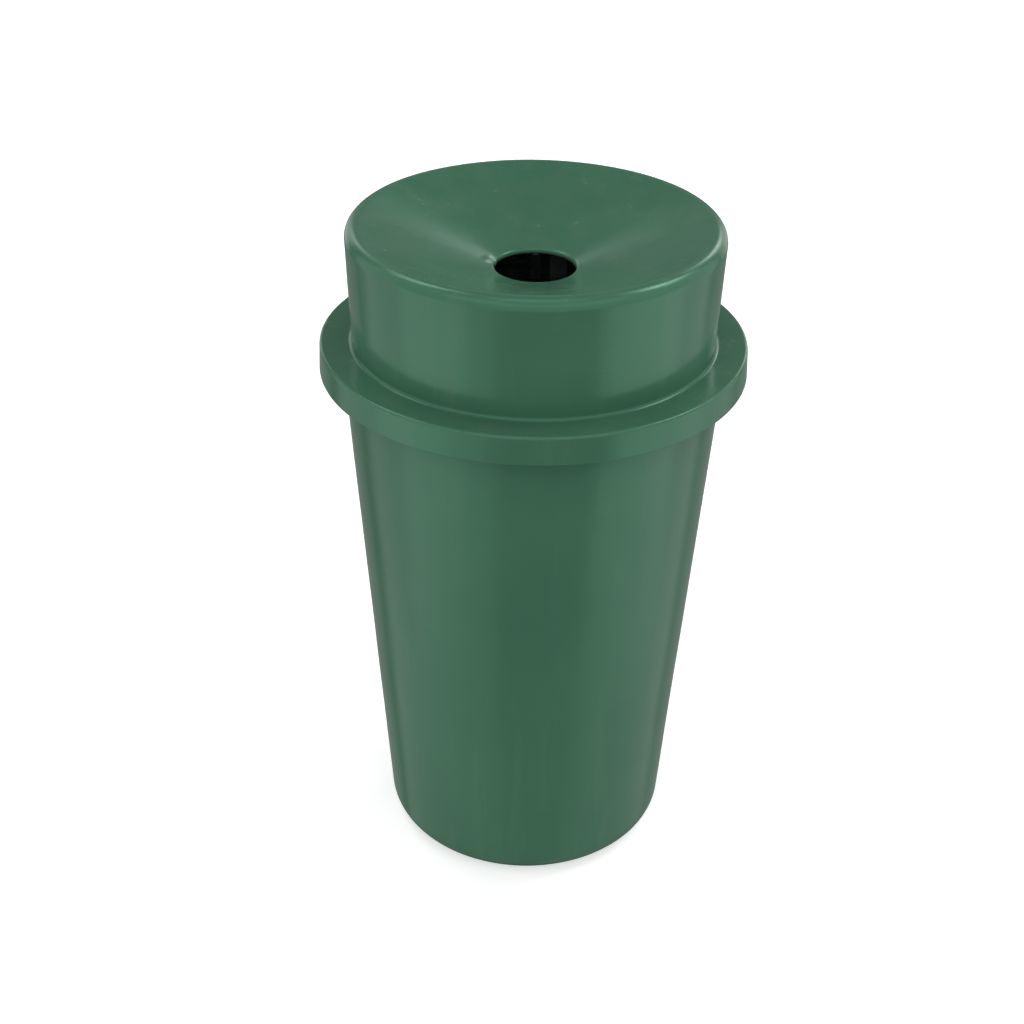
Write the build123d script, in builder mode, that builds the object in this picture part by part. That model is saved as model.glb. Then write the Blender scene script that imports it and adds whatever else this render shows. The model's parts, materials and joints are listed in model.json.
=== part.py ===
from build123d import *
import math
import os

# Round street litter bin with a lift-off hood.  Millimetres, +Z up.
# The origin is on the ground at the centre of the base.
# The hood's front faces -Y, and the lock is at the back, on +Y.

# ---- hood ----
HEIGHT = 800.0  # ground to the crest of the rim
HOOD_WALL = 4.0
RIM_ROUND = 13.0  # rounding between the drum and the funnel
DRUM_TOP_RADIUS = 210.9  # widest radius of the drum, just below the rim
DRUM_FOOT_RADIUS = 206.2  # where the drum meets the brim
BRIM_TOP = 663.0
BRIM_RADIUS = 242.8
BRIM_EDGE_ROUND = 3.0
DRUM_FOOT_ROUND = 4.0
SKIRT_FOOT = 630.8
SKIRT_FOOT_RADIUS = 244.2
THROW_HOLE_RADIUS = 45.8
THROW_HOLE_HEIGHT = 748.5
THROW_LIP_ROUND = 3.5
THROW_LIP_DEPTH = 4.5  # height of the rounded edge of the throw hole

# ---- body shell ----
BODY_WALL = 5.0
BODY_FOOT_RADIUS = 172.7  # the wall's outer face carried down to the ground
BODY_REF_RADIUS = 217.5  # outer radius at the height of the skirt's foot
BODY_CORNER_ROUND = 30.0
FLANGE_UNDERSIDE = 649.0
FLANGE_RADIUS = 233.5
FLANGE_ROOT_ROUND = 4.0
FOOT_RING_RADIUS = 118.0  # inner edge of the ring that stands on the ground
FLOOR_STEP_RADIUS = 110.0
FLOOR_LIFT = 12.0  # underside of the raised floor
FLOOR_STEP_ROUND = 3.0
ANCHOR_CIRCLE_RADIUS = 100.0
ANCHOR_HOLE_RADIUS = 5.5
ANCHOR_BOSS_RADIUS = 17.0
ANCHOR_COUNT = 4
ANCHOR_START = 45.0  # degrees round from +X to the first anchor
DRAIN_HOLE_RADIUS = 10.0

# ---- rim trim ----
TRIM_TOP_THICKNESS = 4.7
TRIM_SIDE_THICKNESS = 2.5
TRIM_LEG = 7.0  # how far the two legs reach in over the flange
TRIM_EDGE_ROUND = 1.5

# ---- floor plate ----
PLATE_THICKNESS = 3.0
PLATE_RADIUS = 110.0
PLATE_OPENING_RADIUS = 22.0
PLATE_RIVET_CIRCLE = 66.0

# ---- rivets ----
RIVET_RADIUS = 2.4
RIVET_HEAD_RADIUS = 4.75
RIVET_HEAD_HEIGHT = 1.6
RIVET_HEAD_EDGE = 0.3  # thickness of a domed head at its edge
RIVET_CROWN_RADIUS = 2.14  # the flat in the middle of a domed head
RIVET_HOLE_PLAY = 0.1
CUT_PAST = 1.0  # how far a cut runs past the faces that it opens

# ---- lock, on an axis that runs along Y ----
LOCK_HEIGHT = 684.0
LOCK_BOSS_RADIUS = 16.0
LOCK_BOSS_FACE = 199.0  # distance of the boss's inner face from the bin's axis
LOCK_SEAT_CUT = 0.45  # depth of the flat seat under the barrel's flange
LOCK_SEAT_MARGIN = 1.0  # how far the seat is wider than the flange
BARREL_RADIUS = 9.5
BARREL_FLATS = 16.0
BARREL_END = 192.3
BARREL_FLANGE_RADIUS = 12.0
BARREL_FLANGE_HEIGHT = 2.6
BARREL_CHAMFER = 0.8
LOCK_FIT = 0.05
PLUG_RADIUS = 6.5
PLUG_SHOULDER = 191.8
PLUG_RECESS = 0.5
STUB_SIDE = 7.0
STUB_SHORTFALL = 0.2  # the square stub ends this far inside the cam, so that the screw clamps the cam
KEY_SLOT = (2.2, 8.0)
KEY_DEPTH = 9.0
WASHER_THICKNESS = 1.0
WASHER_RADIUS = 13.0
NUT_FLATS = 22.0
NUT_THICKNESS = 4.2
CAM_THICKNESS = 3.0
CAM_WIDTH = 14.0
CAM_REACH = 35.0
CAM_HUB_RADIUS = 9.0
CAM_CORNER = 4.0
SCREW_RADIUS = 1.95
SCREW_HEAD_RADIUS = 4.0
SCREW_HEAD_HEIGHT = 2.6
SCREW_HEAD_ROUND = 1.0
SCREW_SLOT_WIDTH = 1.0
SCREW_SLOT_DEPTH = 1.0
SCREW_LENGTH = 9.0
SCREW_END_PLAY = 0.5

# ---- lock keeper ----
KEEPER_THICKNESS = 2.5
KEEPER_LEG_RADIUS = 199.8
KEEPER_FOOT = 624.0
KEEPER_SHELF = 646.0
KEEPER_TOP = 695.5
KEEPER_TAB_RADIUS = 185.8
KEEPER_ANGLE = 8.4  # degrees round from the lock's axis to the keeper's middle
KEEPER_SPAN = 6.2  # degrees
KEEPER_BEND = 4.0
KEEPER_FOLD = 2.0  # the tighter bend where the shelf turns up
KEEPER_RIVET_HEIGHT = 634.0
KEEPER_RIVET_ANGLE = 1.65  # degrees each side of the keeper's middle

# ---- liner ----
LINER_SHEET = 1.2
LINER_GAP = 0.3  # between the liner and the floor plate
LINER_FOOT_RADIUS = 150.0
LINER_TOP_RADIUS = 175.5
LINER_TOP = 608.0
LINER_FLOOR_FLANGE = 9.0
LINER_FLOOR_BEND = 3.0
LINER_FLOOR_PLAY = 0.1
LINER_DRAIN_RADIUS = 5.0
LINER_DRAIN_CIRCLE = 105.0
LINER_DRAIN_COUNT = 6
RIM_WIRE_RADIUS = 2.0
RIM_WIRE_PLAY = 0.05
RIM_CURL = 250.0  # degrees of sheet rolled round the wire

# ---- liner handles, on the left and the right of the liner ----
HANDLE_WIRE_RADIUS = 4.0
HANDLE_HALF_WIDTH = 45.0
HANDLE_DROP = 76.0
HANDLE_BEND = 12.0
HANDLE_END_BEND = 5.0
HANDLE_END_HALF_GAP = 31.0
PIVOT_RADIUS = 156.5  # distance of the handle's pivot from the bin's axis
PIVOT_HEIGHT = 575.0
LUG_THICKNESS = 2.5
LUG_HALF_HEIGHT = 15.0
LUG_HALF_ANGLE = 14.0  # degrees
EAR_HALF_GAP = 33.0
EAR_THICKNESS = 4.0
EAR_ROUND = 8.5
EAR_ROOT = 11.6  # from the pivot to where the ear runs into the lug
LUG_RIVET_ANGLE = 6.5  # degrees each side of the lug's middle

os.makedirs("parts", exist_ok=True)

body_taper = math.atan2(BODY_REF_RADIUS - BODY_FOOT_RADIUS, SKIRT_FOOT)
liner_foot = FLOOR_LIFT + BODY_WALL + PLATE_THICKNESS + LINER_GAP
liner_taper = math.atan2(LINER_TOP_RADIUS - LINER_FOOT_RADIUS, LINER_TOP - liner_foot)


def body_radius(height):
    """Outer radius of the body's wall."""
    return BODY_FOOT_RADIUS + height * math.tan(body_taper)


def body_inner_radius(height):
    """Inner radius of the body's wall."""
    return body_radius(height) - BODY_WALL / math.cos(body_taper)


def drum_radius(height):
    """Outer radius of the hood's drum."""
    slope = (DRUM_TOP_RADIUS - DRUM_FOOT_RADIUS) / (HEIGHT - RIM_ROUND - BRIM_TOP)
    return DRUM_FOOT_RADIUS + (height - BRIM_TOP) * slope


def liner_radius(height):
    """Outer radius of the liner's wall."""
    return LINER_FOOT_RADIUS + (height - liner_foot) * math.tan(liner_taper)


def liner_inner_radius(height):
    """Inner radius of the liner's wall."""
    return liner_radius(height) - LINER_SHEET / math.cos(liner_taper)


def lock_plane(distance):
    """Plane across the lock's axis, facing outwards, at a distance from the bin's axis."""
    return Plane(origin=(0, distance, LOCK_HEIGHT), x_dir=(1, 0, 0), z_dir=(0, 1, 0))


def section_plane(angle):
    """Upright plane through the bin's axis at an angle, in degrees, round from +X."""
    turn = math.radians(angle)
    out = (math.cos(turn), math.sin(turn), 0)
    across = (math.sin(turn), -math.cos(turn), 0)
    return Plane(origin=(0, 0, 0), x_dir=out, z_dir=across)


def wall_plane(angle, radius, height, taper):
    """Plane on a flared wall, facing straight out of it."""
    turn = math.radians(angle)
    across = (-math.sin(turn), math.cos(turn), 0)
    out = (math.cos(turn) * math.cos(taper), math.sin(turn) * math.cos(taper), -math.sin(taper))
    return Plane(origin=(radius * math.cos(turn), radius * math.sin(turn), height), x_dir=across, z_dir=out)


def rivet(plane, grip):
    """A domed rivet whose outer head sits on the plane and whose shank runs back through the grip."""
    back = -grip - RIVET_HEAD_HEIGHT
    with BuildPart(mode=Mode.PRIVATE) as piece:
        with BuildSketch(Plane.XZ):
            with BuildLine():
                Polyline(
                    (0, back),
                    (RIVET_CROWN_RADIUS, back),
                    (RIVET_HEAD_RADIUS, -grip - RIVET_HEAD_EDGE),
                    (RIVET_HEAD_RADIUS, -grip),
                    (RIVET_RADIUS, -grip),
                    (RIVET_RADIUS, 0),
                    (RIVET_HEAD_RADIUS, 0),
                    (RIVET_HEAD_RADIUS, RIVET_HEAD_EDGE),
                    (RIVET_CROWN_RADIUS, RIVET_HEAD_HEIGHT),
                    (0, RIVET_HEAD_HEIGHT),
                    close=True,
                )
            make_face()
        revolve(axis=Axis.Z)
    return plane * piece.part


# ---- hood: funnel, drum, brim and skirt in one moulding ----
crest_radius = DRUM_TOP_RADIUS - RIM_ROUND
rim_reach = crest_radius - THROW_HOLE_RADIUS
rim_rise = HEIGHT - RIM_ROUND - THROW_HOLE_HEIGHT
funnel_slope = math.atan2(rim_rise, rim_reach) + math.asin(RIM_ROUND / math.hypot(rim_reach, rim_rise))
rim_corner = THROW_HOLE_HEIGHT + (DRUM_TOP_RADIUS - THROW_HOLE_RADIUS) * math.tan(funnel_slope)
lock_seat = drum_radius(LOCK_HEIGHT) - LOCK_SEAT_CUT

with BuildPart() as lid_hood:
    with BuildSketch(Plane.XZ):
        with BuildLine():
            FilletPolyline(
                (THROW_HOLE_RADIUS, THROW_HOLE_HEIGHT - THROW_LIP_DEPTH),
                (THROW_HOLE_RADIUS, THROW_HOLE_HEIGHT),
                (drum_radius(rim_corner), rim_corner),
                (DRUM_FOOT_RADIUS, BRIM_TOP),
                (BRIM_RADIUS, BRIM_TOP),
                (SKIRT_FOOT_RADIUS, SKIRT_FOOT),
                radius=(THROW_LIP_ROUND, RIM_ROUND, DRUM_FOOT_ROUND, BRIM_EDGE_ROUND),
            )
            offset(amount=HOOD_WALL, side=Side.RIGHT)
        make_face()
    revolve(axis=Axis.Z)
    with BuildSketch(lock_plane(LOCK_BOSS_FACE)):
        Circle(LOCK_BOSS_RADIUS)
    extrude(amount=drum_radius(LOCK_HEIGHT) - HOOD_WALL / 2 - LOCK_BOSS_FACE)
    with BuildSketch(lock_plane(lock_seat)):
        Circle(BARREL_FLANGE_RADIUS + LOCK_SEAT_MARGIN)
    extrude(amount=BARREL_FLANGE_HEIGHT, mode=Mode.SUBTRACT)
    with BuildSketch(lock_plane(LOCK_BOSS_FACE - CUT_PAST)):
        Circle(BARREL_RADIUS + LOCK_FIT)
        Rectangle(2 * WASHER_RADIUS, BARREL_FLATS + 2 * LOCK_FIT, mode=Mode.INTERSECT)
    extrude(amount=lock_seat - LOCK_BOSS_FACE + 2 * CUT_PAST, mode=Mode.SUBTRACT)
lid_hood.part.label = "lid_hood"
export_step(lid_hood.part, "parts/lid_hood.step")

# ---- body shell: tapered tub with an out-turned flange and a raised floor ----
floor_top = FLOOR_LIFT + BODY_WALL
keeper_rivet_planes = [
    wall_plane(
        90 - KEEPER_ANGLE + side * KEEPER_RIVET_ANGLE,
        body_radius(KEEPER_RIVET_HEIGHT),
        KEEPER_RIVET_HEIGHT,
        body_taper,
    )
    for side in (-1, 1)
]

with BuildPart() as body_shell:
    with BuildSketch(Plane.XZ):
        with BuildLine():
            FilletPolyline(
                (FLANGE_RADIUS, FLANGE_UNDERSIDE),
                (body_radius(FLANGE_UNDERSIDE), FLANGE_UNDERSIDE),
                (BODY_FOOT_RADIUS, 0),
                (FOOT_RING_RADIUS, 0),
                (FLOOR_STEP_RADIUS, FLOOR_LIFT),
                (0, FLOOR_LIFT),
                radius=(FLANGE_ROOT_ROUND, BODY_CORNER_ROUND, FLOOR_STEP_ROUND, FLOOR_STEP_ROUND),
            )
            offset(amount=BODY_WALL, side=Side.RIGHT)
        make_face()
    revolve(axis=Axis.Z)
    with BuildSketch(Plane.XY):
        with PolarLocations(ANCHOR_CIRCLE_RADIUS, ANCHOR_COUNT, start_angle=ANCHOR_START):
            Circle(ANCHOR_BOSS_RADIUS)
    extrude(amount=FLOOR_LIFT + BODY_WALL / 2)
    with BuildSketch(Plane.XY):
        Circle(DRAIN_HOLE_RADIUS)
        with PolarLocations(ANCHOR_CIRCLE_RADIUS, ANCHOR_COUNT, start_angle=ANCHOR_START):
            Circle(ANCHOR_HOLE_RADIUS)
        with PolarLocations(PLATE_RIVET_CIRCLE, ANCHOR_COUNT):
            Circle(RIVET_RADIUS + RIVET_HOLE_PLAY)
    extrude(amount=floor_top, mode=Mode.SUBTRACT)
    for outer_face in keeper_rivet_planes:
        with BuildSketch(outer_face.offset(CUT_PAST)):
            Circle(RIVET_RADIUS + RIVET_HOLE_PLAY)
        extrude(amount=-BODY_WALL - 2 * CUT_PAST, mode=Mode.SUBTRACT)
body_shell.part.label = "body_shell"
export_step(body_shell.part, "parts/body_shell.step")

# ---- rim trim: soft channel pushed over the flange, which the hood rests on ----
flange_top = FLANGE_UNDERSIDE + BODY_WALL

with BuildPart() as rim_trim:
    with BuildSketch(Plane.XZ):
        with BuildLine():
            Polyline(
                (FLANGE_RADIUS - TRIM_LEG, flange_top),
                (FLANGE_RADIUS, flange_top),
                (FLANGE_RADIUS, FLANGE_UNDERSIDE),
                (FLANGE_RADIUS - TRIM_LEG, FLANGE_UNDERSIDE),
                (FLANGE_RADIUS - TRIM_LEG, FLANGE_UNDERSIDE - TRIM_SIDE_THICKNESS),
                (FLANGE_RADIUS + TRIM_SIDE_THICKNESS, FLANGE_UNDERSIDE - TRIM_SIDE_THICKNESS),
                (FLANGE_RADIUS + TRIM_SIDE_THICKNESS, flange_top + TRIM_TOP_THICKNESS),
                (FLANGE_RADIUS - TRIM_LEG, flange_top + TRIM_TOP_THICKNESS),
                close=True,
            )
        make_face()
    revolve(axis=Axis.Z)
    fillet(rim_trim.edges().group_by(Axis.Z)[-1], TRIM_EDGE_ROUND)
rim_trim.part.label = "rim_trim"
export_step(rim_trim.part, "parts/rim_trim.step")

# ---- floor plate: spreads the load of the ground anchors over the moulded floor ----
with BuildPart() as floor_plate:
    with BuildSketch(Plane.XY.offset(floor_top)):
        Circle(PLATE_RADIUS)
        Circle(PLATE_OPENING_RADIUS, mode=Mode.SUBTRACT)
        with PolarLocations(ANCHOR_CIRCLE_RADIUS, ANCHOR_COUNT, start_angle=ANCHOR_START):
            Circle(ANCHOR_HOLE_RADIUS, mode=Mode.SUBTRACT)
        with PolarLocations(PLATE_RIVET_CIRCLE, ANCHOR_COUNT):
            Circle(RIVET_RADIUS + RIVET_HOLE_PLAY, mode=Mode.SUBTRACT)
    extrude(amount=PLATE_THICKNESS)
floor_plate.part.label = "floor_plate"
export_step(floor_plate.part, "parts/floor_plate.step")

# ---- plate rivets: headed below and flush on top, so that the liner stands flat on the plate ----
plate_grip = BODY_WALL + PLATE_THICKNESS

with BuildPart() as plate_rivets:
    with PolarLocations(PLATE_RIVET_CIRCLE, ANCHOR_COUNT):
        with Locations((0, 0, FLOOR_LIFT)):
            Cylinder(RIVET_RADIUS, plate_grip, align=(Align.CENTER, Align.CENTER, Align.MIN))
            Cylinder(RIVET_HEAD_RADIUS, RIVET_HEAD_HEIGHT, align=(Align.CENTER, Align.CENTER, Align.MAX))
plate_rivets.part.label = "plate_rivets"
export_step(plate_rivets.part, "parts/plate_rivets.step")

# ---- lock keeper: bent strip on the body that the cam turns under ----
with BuildPart() as lock_keeper:
    with BuildSketch(section_plane(90 - KEEPER_ANGLE - KEEPER_SPAN / 2)):
        with BuildLine():
            FilletPolyline(
                (body_inner_radius(KEEPER_FOOT), KEEPER_FOOT),
                (body_inner_radius(KEEPER_SHELF), KEEPER_SHELF),
                (KEEPER_LEG_RADIUS, KEEPER_SHELF),
                (KEEPER_LEG_RADIUS, KEEPER_TOP),
                (KEEPER_TAB_RADIUS, KEEPER_TOP),
                radius=(KEEPER_BEND, KEEPER_FOLD, KEEPER_BEND),
            )
            offset(amount=KEEPER_THICKNESS, side=Side.LEFT)
        make_face()
    revolve(axis=Axis.Z, revolution_arc=KEEPER_SPAN)
    for outer_face in keeper_rivet_planes:
        with BuildSketch(outer_face):
            Circle(RIVET_RADIUS + RIVET_HOLE_PLAY)
        extrude(amount=-BODY_WALL - KEEPER_THICKNESS - CUT_PAST, mode=Mode.SUBTRACT)
lock_keeper.part.label = "lock_keeper"
export_step(lock_keeper.part, "parts/lock_keeper.step")

# ---- keeper rivets ----
keeper_grip = BODY_WALL + KEEPER_THICKNESS

with BuildPart() as keeper_rivets:
    for outer_face in keeper_rivet_planes:
        add(rivet(outer_face.offset(RIVET_HOLE_PLAY), keeper_grip + 2 * RIVET_HOLE_PLAY))
keeper_rivets.part.label = "keeper_rivets"
export_step(keeper_rivets.part, "parts/keeper_rivets.step")

# ---- lock barrel: fixed housing through the drum's wall ----
with BuildPart() as lock_barrel:
    with BuildSketch(lock_plane(BARREL_END)):
        Circle(BARREL_RADIUS)
        Rectangle(2 * WASHER_RADIUS, BARREL_FLATS, mode=Mode.INTERSECT)
    extrude(amount=lock_seat - BARREL_END)
    with BuildSketch(lock_plane(lock_seat)):
        Circle(BARREL_FLANGE_RADIUS)
    extrude(amount=BARREL_FLANGE_HEIGHT)
    chamfer(lock_barrel.edges().group_by(Axis.Y)[-1], BARREL_CHAMFER)
    with BuildSketch(lock_plane(BARREL_END)):
        Circle(PLUG_RADIUS + LOCK_FIT)
    extrude(amount=lock_seat + BARREL_FLANGE_HEIGHT - BARREL_END, mode=Mode.SUBTRACT)
lock_barrel.part.label = "lock_barrel"
export_step(lock_barrel.part, "parts/lock_barrel.step")

# ---- lock washer and nut, on the inside of the boss ----
with BuildPart() as lock_washer:
    with BuildSketch(lock_plane(LOCK_BOSS_FACE)):
        Circle(WASHER_RADIUS)
        Circle(BARREL_RADIUS + LOCK_FIT, mode=Mode.SUBTRACT)
    extrude(amount=-WASHER_THICKNESS)
lock_washer.part.label = "lock_washer"
export_step(lock_washer.part, "parts/lock_washer.step")

with BuildPart() as lock_nut:
    with BuildSketch(lock_plane(LOCK_BOSS_FACE - WASHER_THICKNESS)):
        RegularPolygon(NUT_FLATS / 2, 6, major_radius=False)
        Circle(BARREL_RADIUS + LOCK_FIT, mode=Mode.SUBTRACT)
    extrude(amount=-NUT_THICKNESS)
lock_nut.part.label = "lock_nut"
export_step(lock_nut.part, "parts/lock_nut.step")

# ---- lock plug: turns in the barrel with the key ----
plug_face = lock_seat + BARREL_FLANGE_HEIGHT - PLUG_RECESS

with BuildPart() as lock_plug:
    with BuildSketch(lock_plane(PLUG_SHOULDER)):
        Circle(PLUG_RADIUS)
    extrude(amount=plug_face - PLUG_SHOULDER)
    with BuildSketch(lock_plane(PLUG_SHOULDER)):
        Rectangle(STUB_SIDE, STUB_SIDE)
    extrude(amount=STUB_SHORTFALL - CAM_THICKNESS)
    with BuildSketch(lock_plane(plug_face)):
        Rectangle(*KEY_SLOT)
    extrude(amount=-KEY_DEPTH, mode=Mode.SUBTRACT)
    with BuildSketch(lock_plane(PLUG_SHOULDER - CAM_THICKNESS)):
        Circle(SCREW_RADIUS + LOCK_FIT)
    extrude(amount=SCREW_LENGTH + SCREW_END_PLAY, mode=Mode.SUBTRACT)
lock_plug.part.label = "lock_plug"
export_step(lock_plug.part, "parts/lock_plug.step")

# ---- lock cam: hangs down when unlocked ----
with BuildPart() as lock_cam:
    with BuildSketch(lock_plane(PLUG_SHOULDER)) as cam_outline:
        with Locations((0, CAM_REACH / 2)):
            Rectangle(CAM_WIDTH, CAM_REACH)
        fillet(cam_outline.vertices().group_by(Axis.Y)[-1], CAM_CORNER)
        Circle(CAM_HUB_RADIUS)
        Rectangle(STUB_SIDE + 2 * LOCK_FIT, STUB_SIDE + 2 * LOCK_FIT, mode=Mode.SUBTRACT)
    extrude(amount=-CAM_THICKNESS)
lock_cam.part.label = "lock_cam"
export_step(lock_cam.part, "parts/lock_cam.step")

# ---- cam screw ----
with BuildPart() as cam_screw:
    with BuildSketch(lock_plane(PLUG_SHOULDER - CAM_THICKNESS)):
        Circle(SCREW_HEAD_RADIUS)
    extrude(amount=-SCREW_HEAD_HEIGHT)
    fillet(cam_screw.edges().group_by(Axis.Y)[0], SCREW_HEAD_ROUND)
    with BuildSketch(lock_plane(PLUG_SHOULDER - CAM_THICKNESS - SCREW_HEAD_HEIGHT)):
        Rectangle(2 * SCREW_HEAD_RADIUS, SCREW_SLOT_WIDTH)
    extrude(amount=SCREW_SLOT_DEPTH, mode=Mode.SUBTRACT)
    with BuildSketch(lock_plane(PLUG_SHOULDER - CAM_THICKNESS)):
        Circle(SCREW_RADIUS)
    extrude(amount=SCREW_LENGTH)
cam_screw.part.label = "cam_screw"
export_step(cam_screw.part, "parts/cam_screw.step")

# ---- liner shell: tapered sheet bucket with its rim rolled outwards round a wire ----
wall_direction = (math.sin(liner_taper), math.cos(liner_taper))
lug_rivet_planes = [
    wall_plane(middle + side * LUG_RIVET_ANGLE, liner_radius(PIVOT_HEIGHT), PIVOT_HEIGHT, liner_taper)
    for middle in (0, 180)
    for side in (-1, 1)
]
right_lug_rivet_planes = lug_rivet_planes[:2]

with BuildPart() as liner_shell:
    with BuildSketch(Plane.XZ):
        with BuildLine():
            Line((LINER_FOOT_RADIUS, liner_foot), (LINER_TOP_RADIUS, LINER_TOP))
            JernArc((LINER_TOP_RADIUS, LINER_TOP), wall_direction, RIM_WIRE_RADIUS, -RIM_CURL)
            offset(amount=LINER_SHEET, side=Side.LEFT)
        make_face()
    revolve(axis=Axis.Z)
    for outer_face in lug_rivet_planes:
        with BuildSketch(outer_face.offset(CUT_PAST)):
            Circle(RIVET_RADIUS + RIVET_HOLE_PLAY)
        extrude(amount=-LINER_SHEET - 2 * CUT_PAST, mode=Mode.SUBTRACT)
liner_shell.part.label = "liner_shell"
export_step(liner_shell.part, "parts/liner_shell.step")

# ---- rim wire inside the rolled edge ----
wire_circle = LINER_TOP_RADIUS + RIM_WIRE_RADIUS * math.cos(liner_taper)
wire_height = LINER_TOP - RIM_WIRE_RADIUS * math.sin(liner_taper)

with BuildPart() as liner_rim_wire:
    with BuildSketch(Plane.XZ):
        with Locations((wire_circle, wire_height)):
            Circle(RIM_WIRE_RADIUS - RIM_WIRE_PLAY)
    revolve(axis=Axis.Z)
liner_rim_wire.part.label = "liner_rim_wire"
export_step(liner_rim_wire.part, "parts/liner_rim_wire.step")

# ---- liner floor: pressed dish inside the foot of the shell, with drain holes ----
dish_top = liner_foot + LINER_FLOOR_FLANGE
dish_inset = LINER_SHEET + LINER_FLOOR_PLAY

with BuildPart() as liner_floor:
    with BuildSketch(Plane.XZ):
        with BuildLine():
            FilletPolyline(
                (0, liner_foot),
                (liner_radius(liner_foot) - dish_inset, liner_foot),
                (liner_radius(dish_top) - dish_inset, dish_top),
                radius=LINER_FLOOR_BEND,
            )
            offset(amount=LINER_SHEET, side=Side.LEFT)
        make_face()
    revolve(axis=Axis.Z)
    with BuildSketch(Plane.XY.offset(liner_foot)):
        with PolarLocations(LINER_DRAIN_CIRCLE, LINER_DRAIN_COUNT):
            Circle(LINER_DRAIN_RADIUS)
    extrude(amount=LINER_SHEET, mode=Mode.SUBTRACT)
liner_floor.part.label = "liner_floor"
export_step(liner_floor.part, "parts/liner_floor.step")

# ---- handle lugs: brackets inside the liner that carry the handles ----
lug_foot = PIVOT_HEIGHT - LUG_HALF_HEIGHT
lug_top = PIVOT_HEIGHT + LUG_HALF_HEIGHT
ear_planes = [Plane.XZ.offset(side * (EAR_HALF_GAP + EAR_THICKNESS / 2)) for side in (-1, 1)]

for lug_side, turn in (("right", 0), ("left", 180)):
    with BuildPart() as handle_lug:
        with BuildSketch(section_plane(-LUG_HALF_ANGLE)):
            with BuildLine():
                Line(
                    (liner_inner_radius(lug_foot), lug_foot),
                    (liner_inner_radius(lug_top), lug_top),
                )
                offset(amount=LUG_THICKNESS, side=Side.LEFT)
            make_face()
        revolve(axis=Axis.Z, revolution_arc=2 * LUG_HALF_ANGLE)
        for ear_plane in ear_planes:
            with BuildSketch(ear_plane):
                with Locations((PIVOT_RADIUS, PIVOT_HEIGHT)):
                    Circle(EAR_ROUND)
                    Rectangle(EAR_ROOT, 2 * EAR_ROUND, align=(Align.MIN, Align.CENTER))
                    Circle(HANDLE_WIRE_RADIUS + LOCK_FIT, mode=Mode.SUBTRACT)
            extrude(amount=EAR_THICKNESS / 2, both=True)
        for outer_face in right_lug_rivet_planes:
            with BuildSketch(outer_face):
                Circle(RIVET_RADIUS + RIVET_HOLE_PLAY)
            extrude(amount=-LINER_SHEET - LUG_THICKNESS - CUT_PAST, mode=Mode.SUBTRACT)
    lug_part = handle_lug.part.rotate(Axis.Z, turn)
    lug_part.label = f"handle_lug_{lug_side}"
    export_step(lug_part, f"parts/handle_lug_{lug_side}.step")

# ---- liner rivets through the lugs and the sheet ----
lug_grip = LINER_SHEET + LUG_THICKNESS

with BuildPart() as liner_rivets:
    for outer_face in lug_rivet_planes:
        add(rivet(outer_face.offset(RIVET_HOLE_PLAY), lug_grip + 2 * RIVET_HOLE_PLAY))
liner_rivets.part.label = "liner_rivets"
export_step(liner_rivets.part, "parts/liner_rivets.step")

# ---- handles: bent rod whose inturned ends pivot in the ears, hanging down at rest ----
handle_plane = Plane(origin=(PIVOT_RADIUS, 0, PIVOT_HEIGHT), x_dir=(0, 1, 0), z_dir=(1, 0, 0))

for handle_side, turn in (("right", 0), ("left", 180)):
    with BuildPart() as handle:
        with BuildLine(handle_plane) as handle_path:
            FilletPolyline(
                (-HANDLE_END_HALF_GAP, 0),
                (-HANDLE_HALF_WIDTH, 0),
                (-HANDLE_HALF_WIDTH, -HANDLE_DROP),
                (HANDLE_HALF_WIDTH, -HANDLE_DROP),
                (HANDLE_HALF_WIDTH, 0),
                (HANDLE_END_HALF_GAP, 0),
                radius=(HANDLE_END_BEND, HANDLE_BEND, HANDLE_BEND, HANDLE_END_BEND),
            )
        with BuildSketch(Plane(origin=handle_path.line @ 0, z_dir=handle_path.line % 0)):
            Circle(HANDLE_WIRE_RADIUS)
        sweep()
    handle_part = handle.part.rotate(Axis.Z, turn)
    handle_part.label = f"handle_{handle_side}"
    export_step(handle_part, f"parts/handle_{handle_side}.step")
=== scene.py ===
import json
import math

import bmesh
import bpy
from mathutils import Matrix, Vector, noise


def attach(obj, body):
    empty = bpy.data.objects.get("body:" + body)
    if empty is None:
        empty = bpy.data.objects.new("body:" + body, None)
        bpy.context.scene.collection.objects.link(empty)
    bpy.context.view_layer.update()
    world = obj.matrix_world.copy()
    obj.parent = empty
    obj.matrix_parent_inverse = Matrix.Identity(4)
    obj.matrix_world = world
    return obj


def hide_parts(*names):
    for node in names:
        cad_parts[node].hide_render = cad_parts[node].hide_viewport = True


# Looks of a round street litter bin: glass-fibre hood and body, galvanised liner, cam lock.
# Metres, +Z up, origin on the ground at the centre of the base.  The front faces -Y, the lock +Y.

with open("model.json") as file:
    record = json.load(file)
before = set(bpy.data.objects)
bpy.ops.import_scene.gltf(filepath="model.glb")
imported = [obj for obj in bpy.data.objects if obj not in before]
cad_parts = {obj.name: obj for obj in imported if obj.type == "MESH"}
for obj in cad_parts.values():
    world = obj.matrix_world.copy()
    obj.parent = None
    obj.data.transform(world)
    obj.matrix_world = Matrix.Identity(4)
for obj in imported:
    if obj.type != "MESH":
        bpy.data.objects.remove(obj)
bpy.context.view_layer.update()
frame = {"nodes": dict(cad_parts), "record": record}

record = frame["record"]
nodes = frame["nodes"]
base_colours = {entry["slot"]: entry["base_color"] for entry in record["materials"]}
slot_of = {entry["node"]: entry["material_slot"] for entry in record["subparts"]}

MM = 0.001

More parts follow.
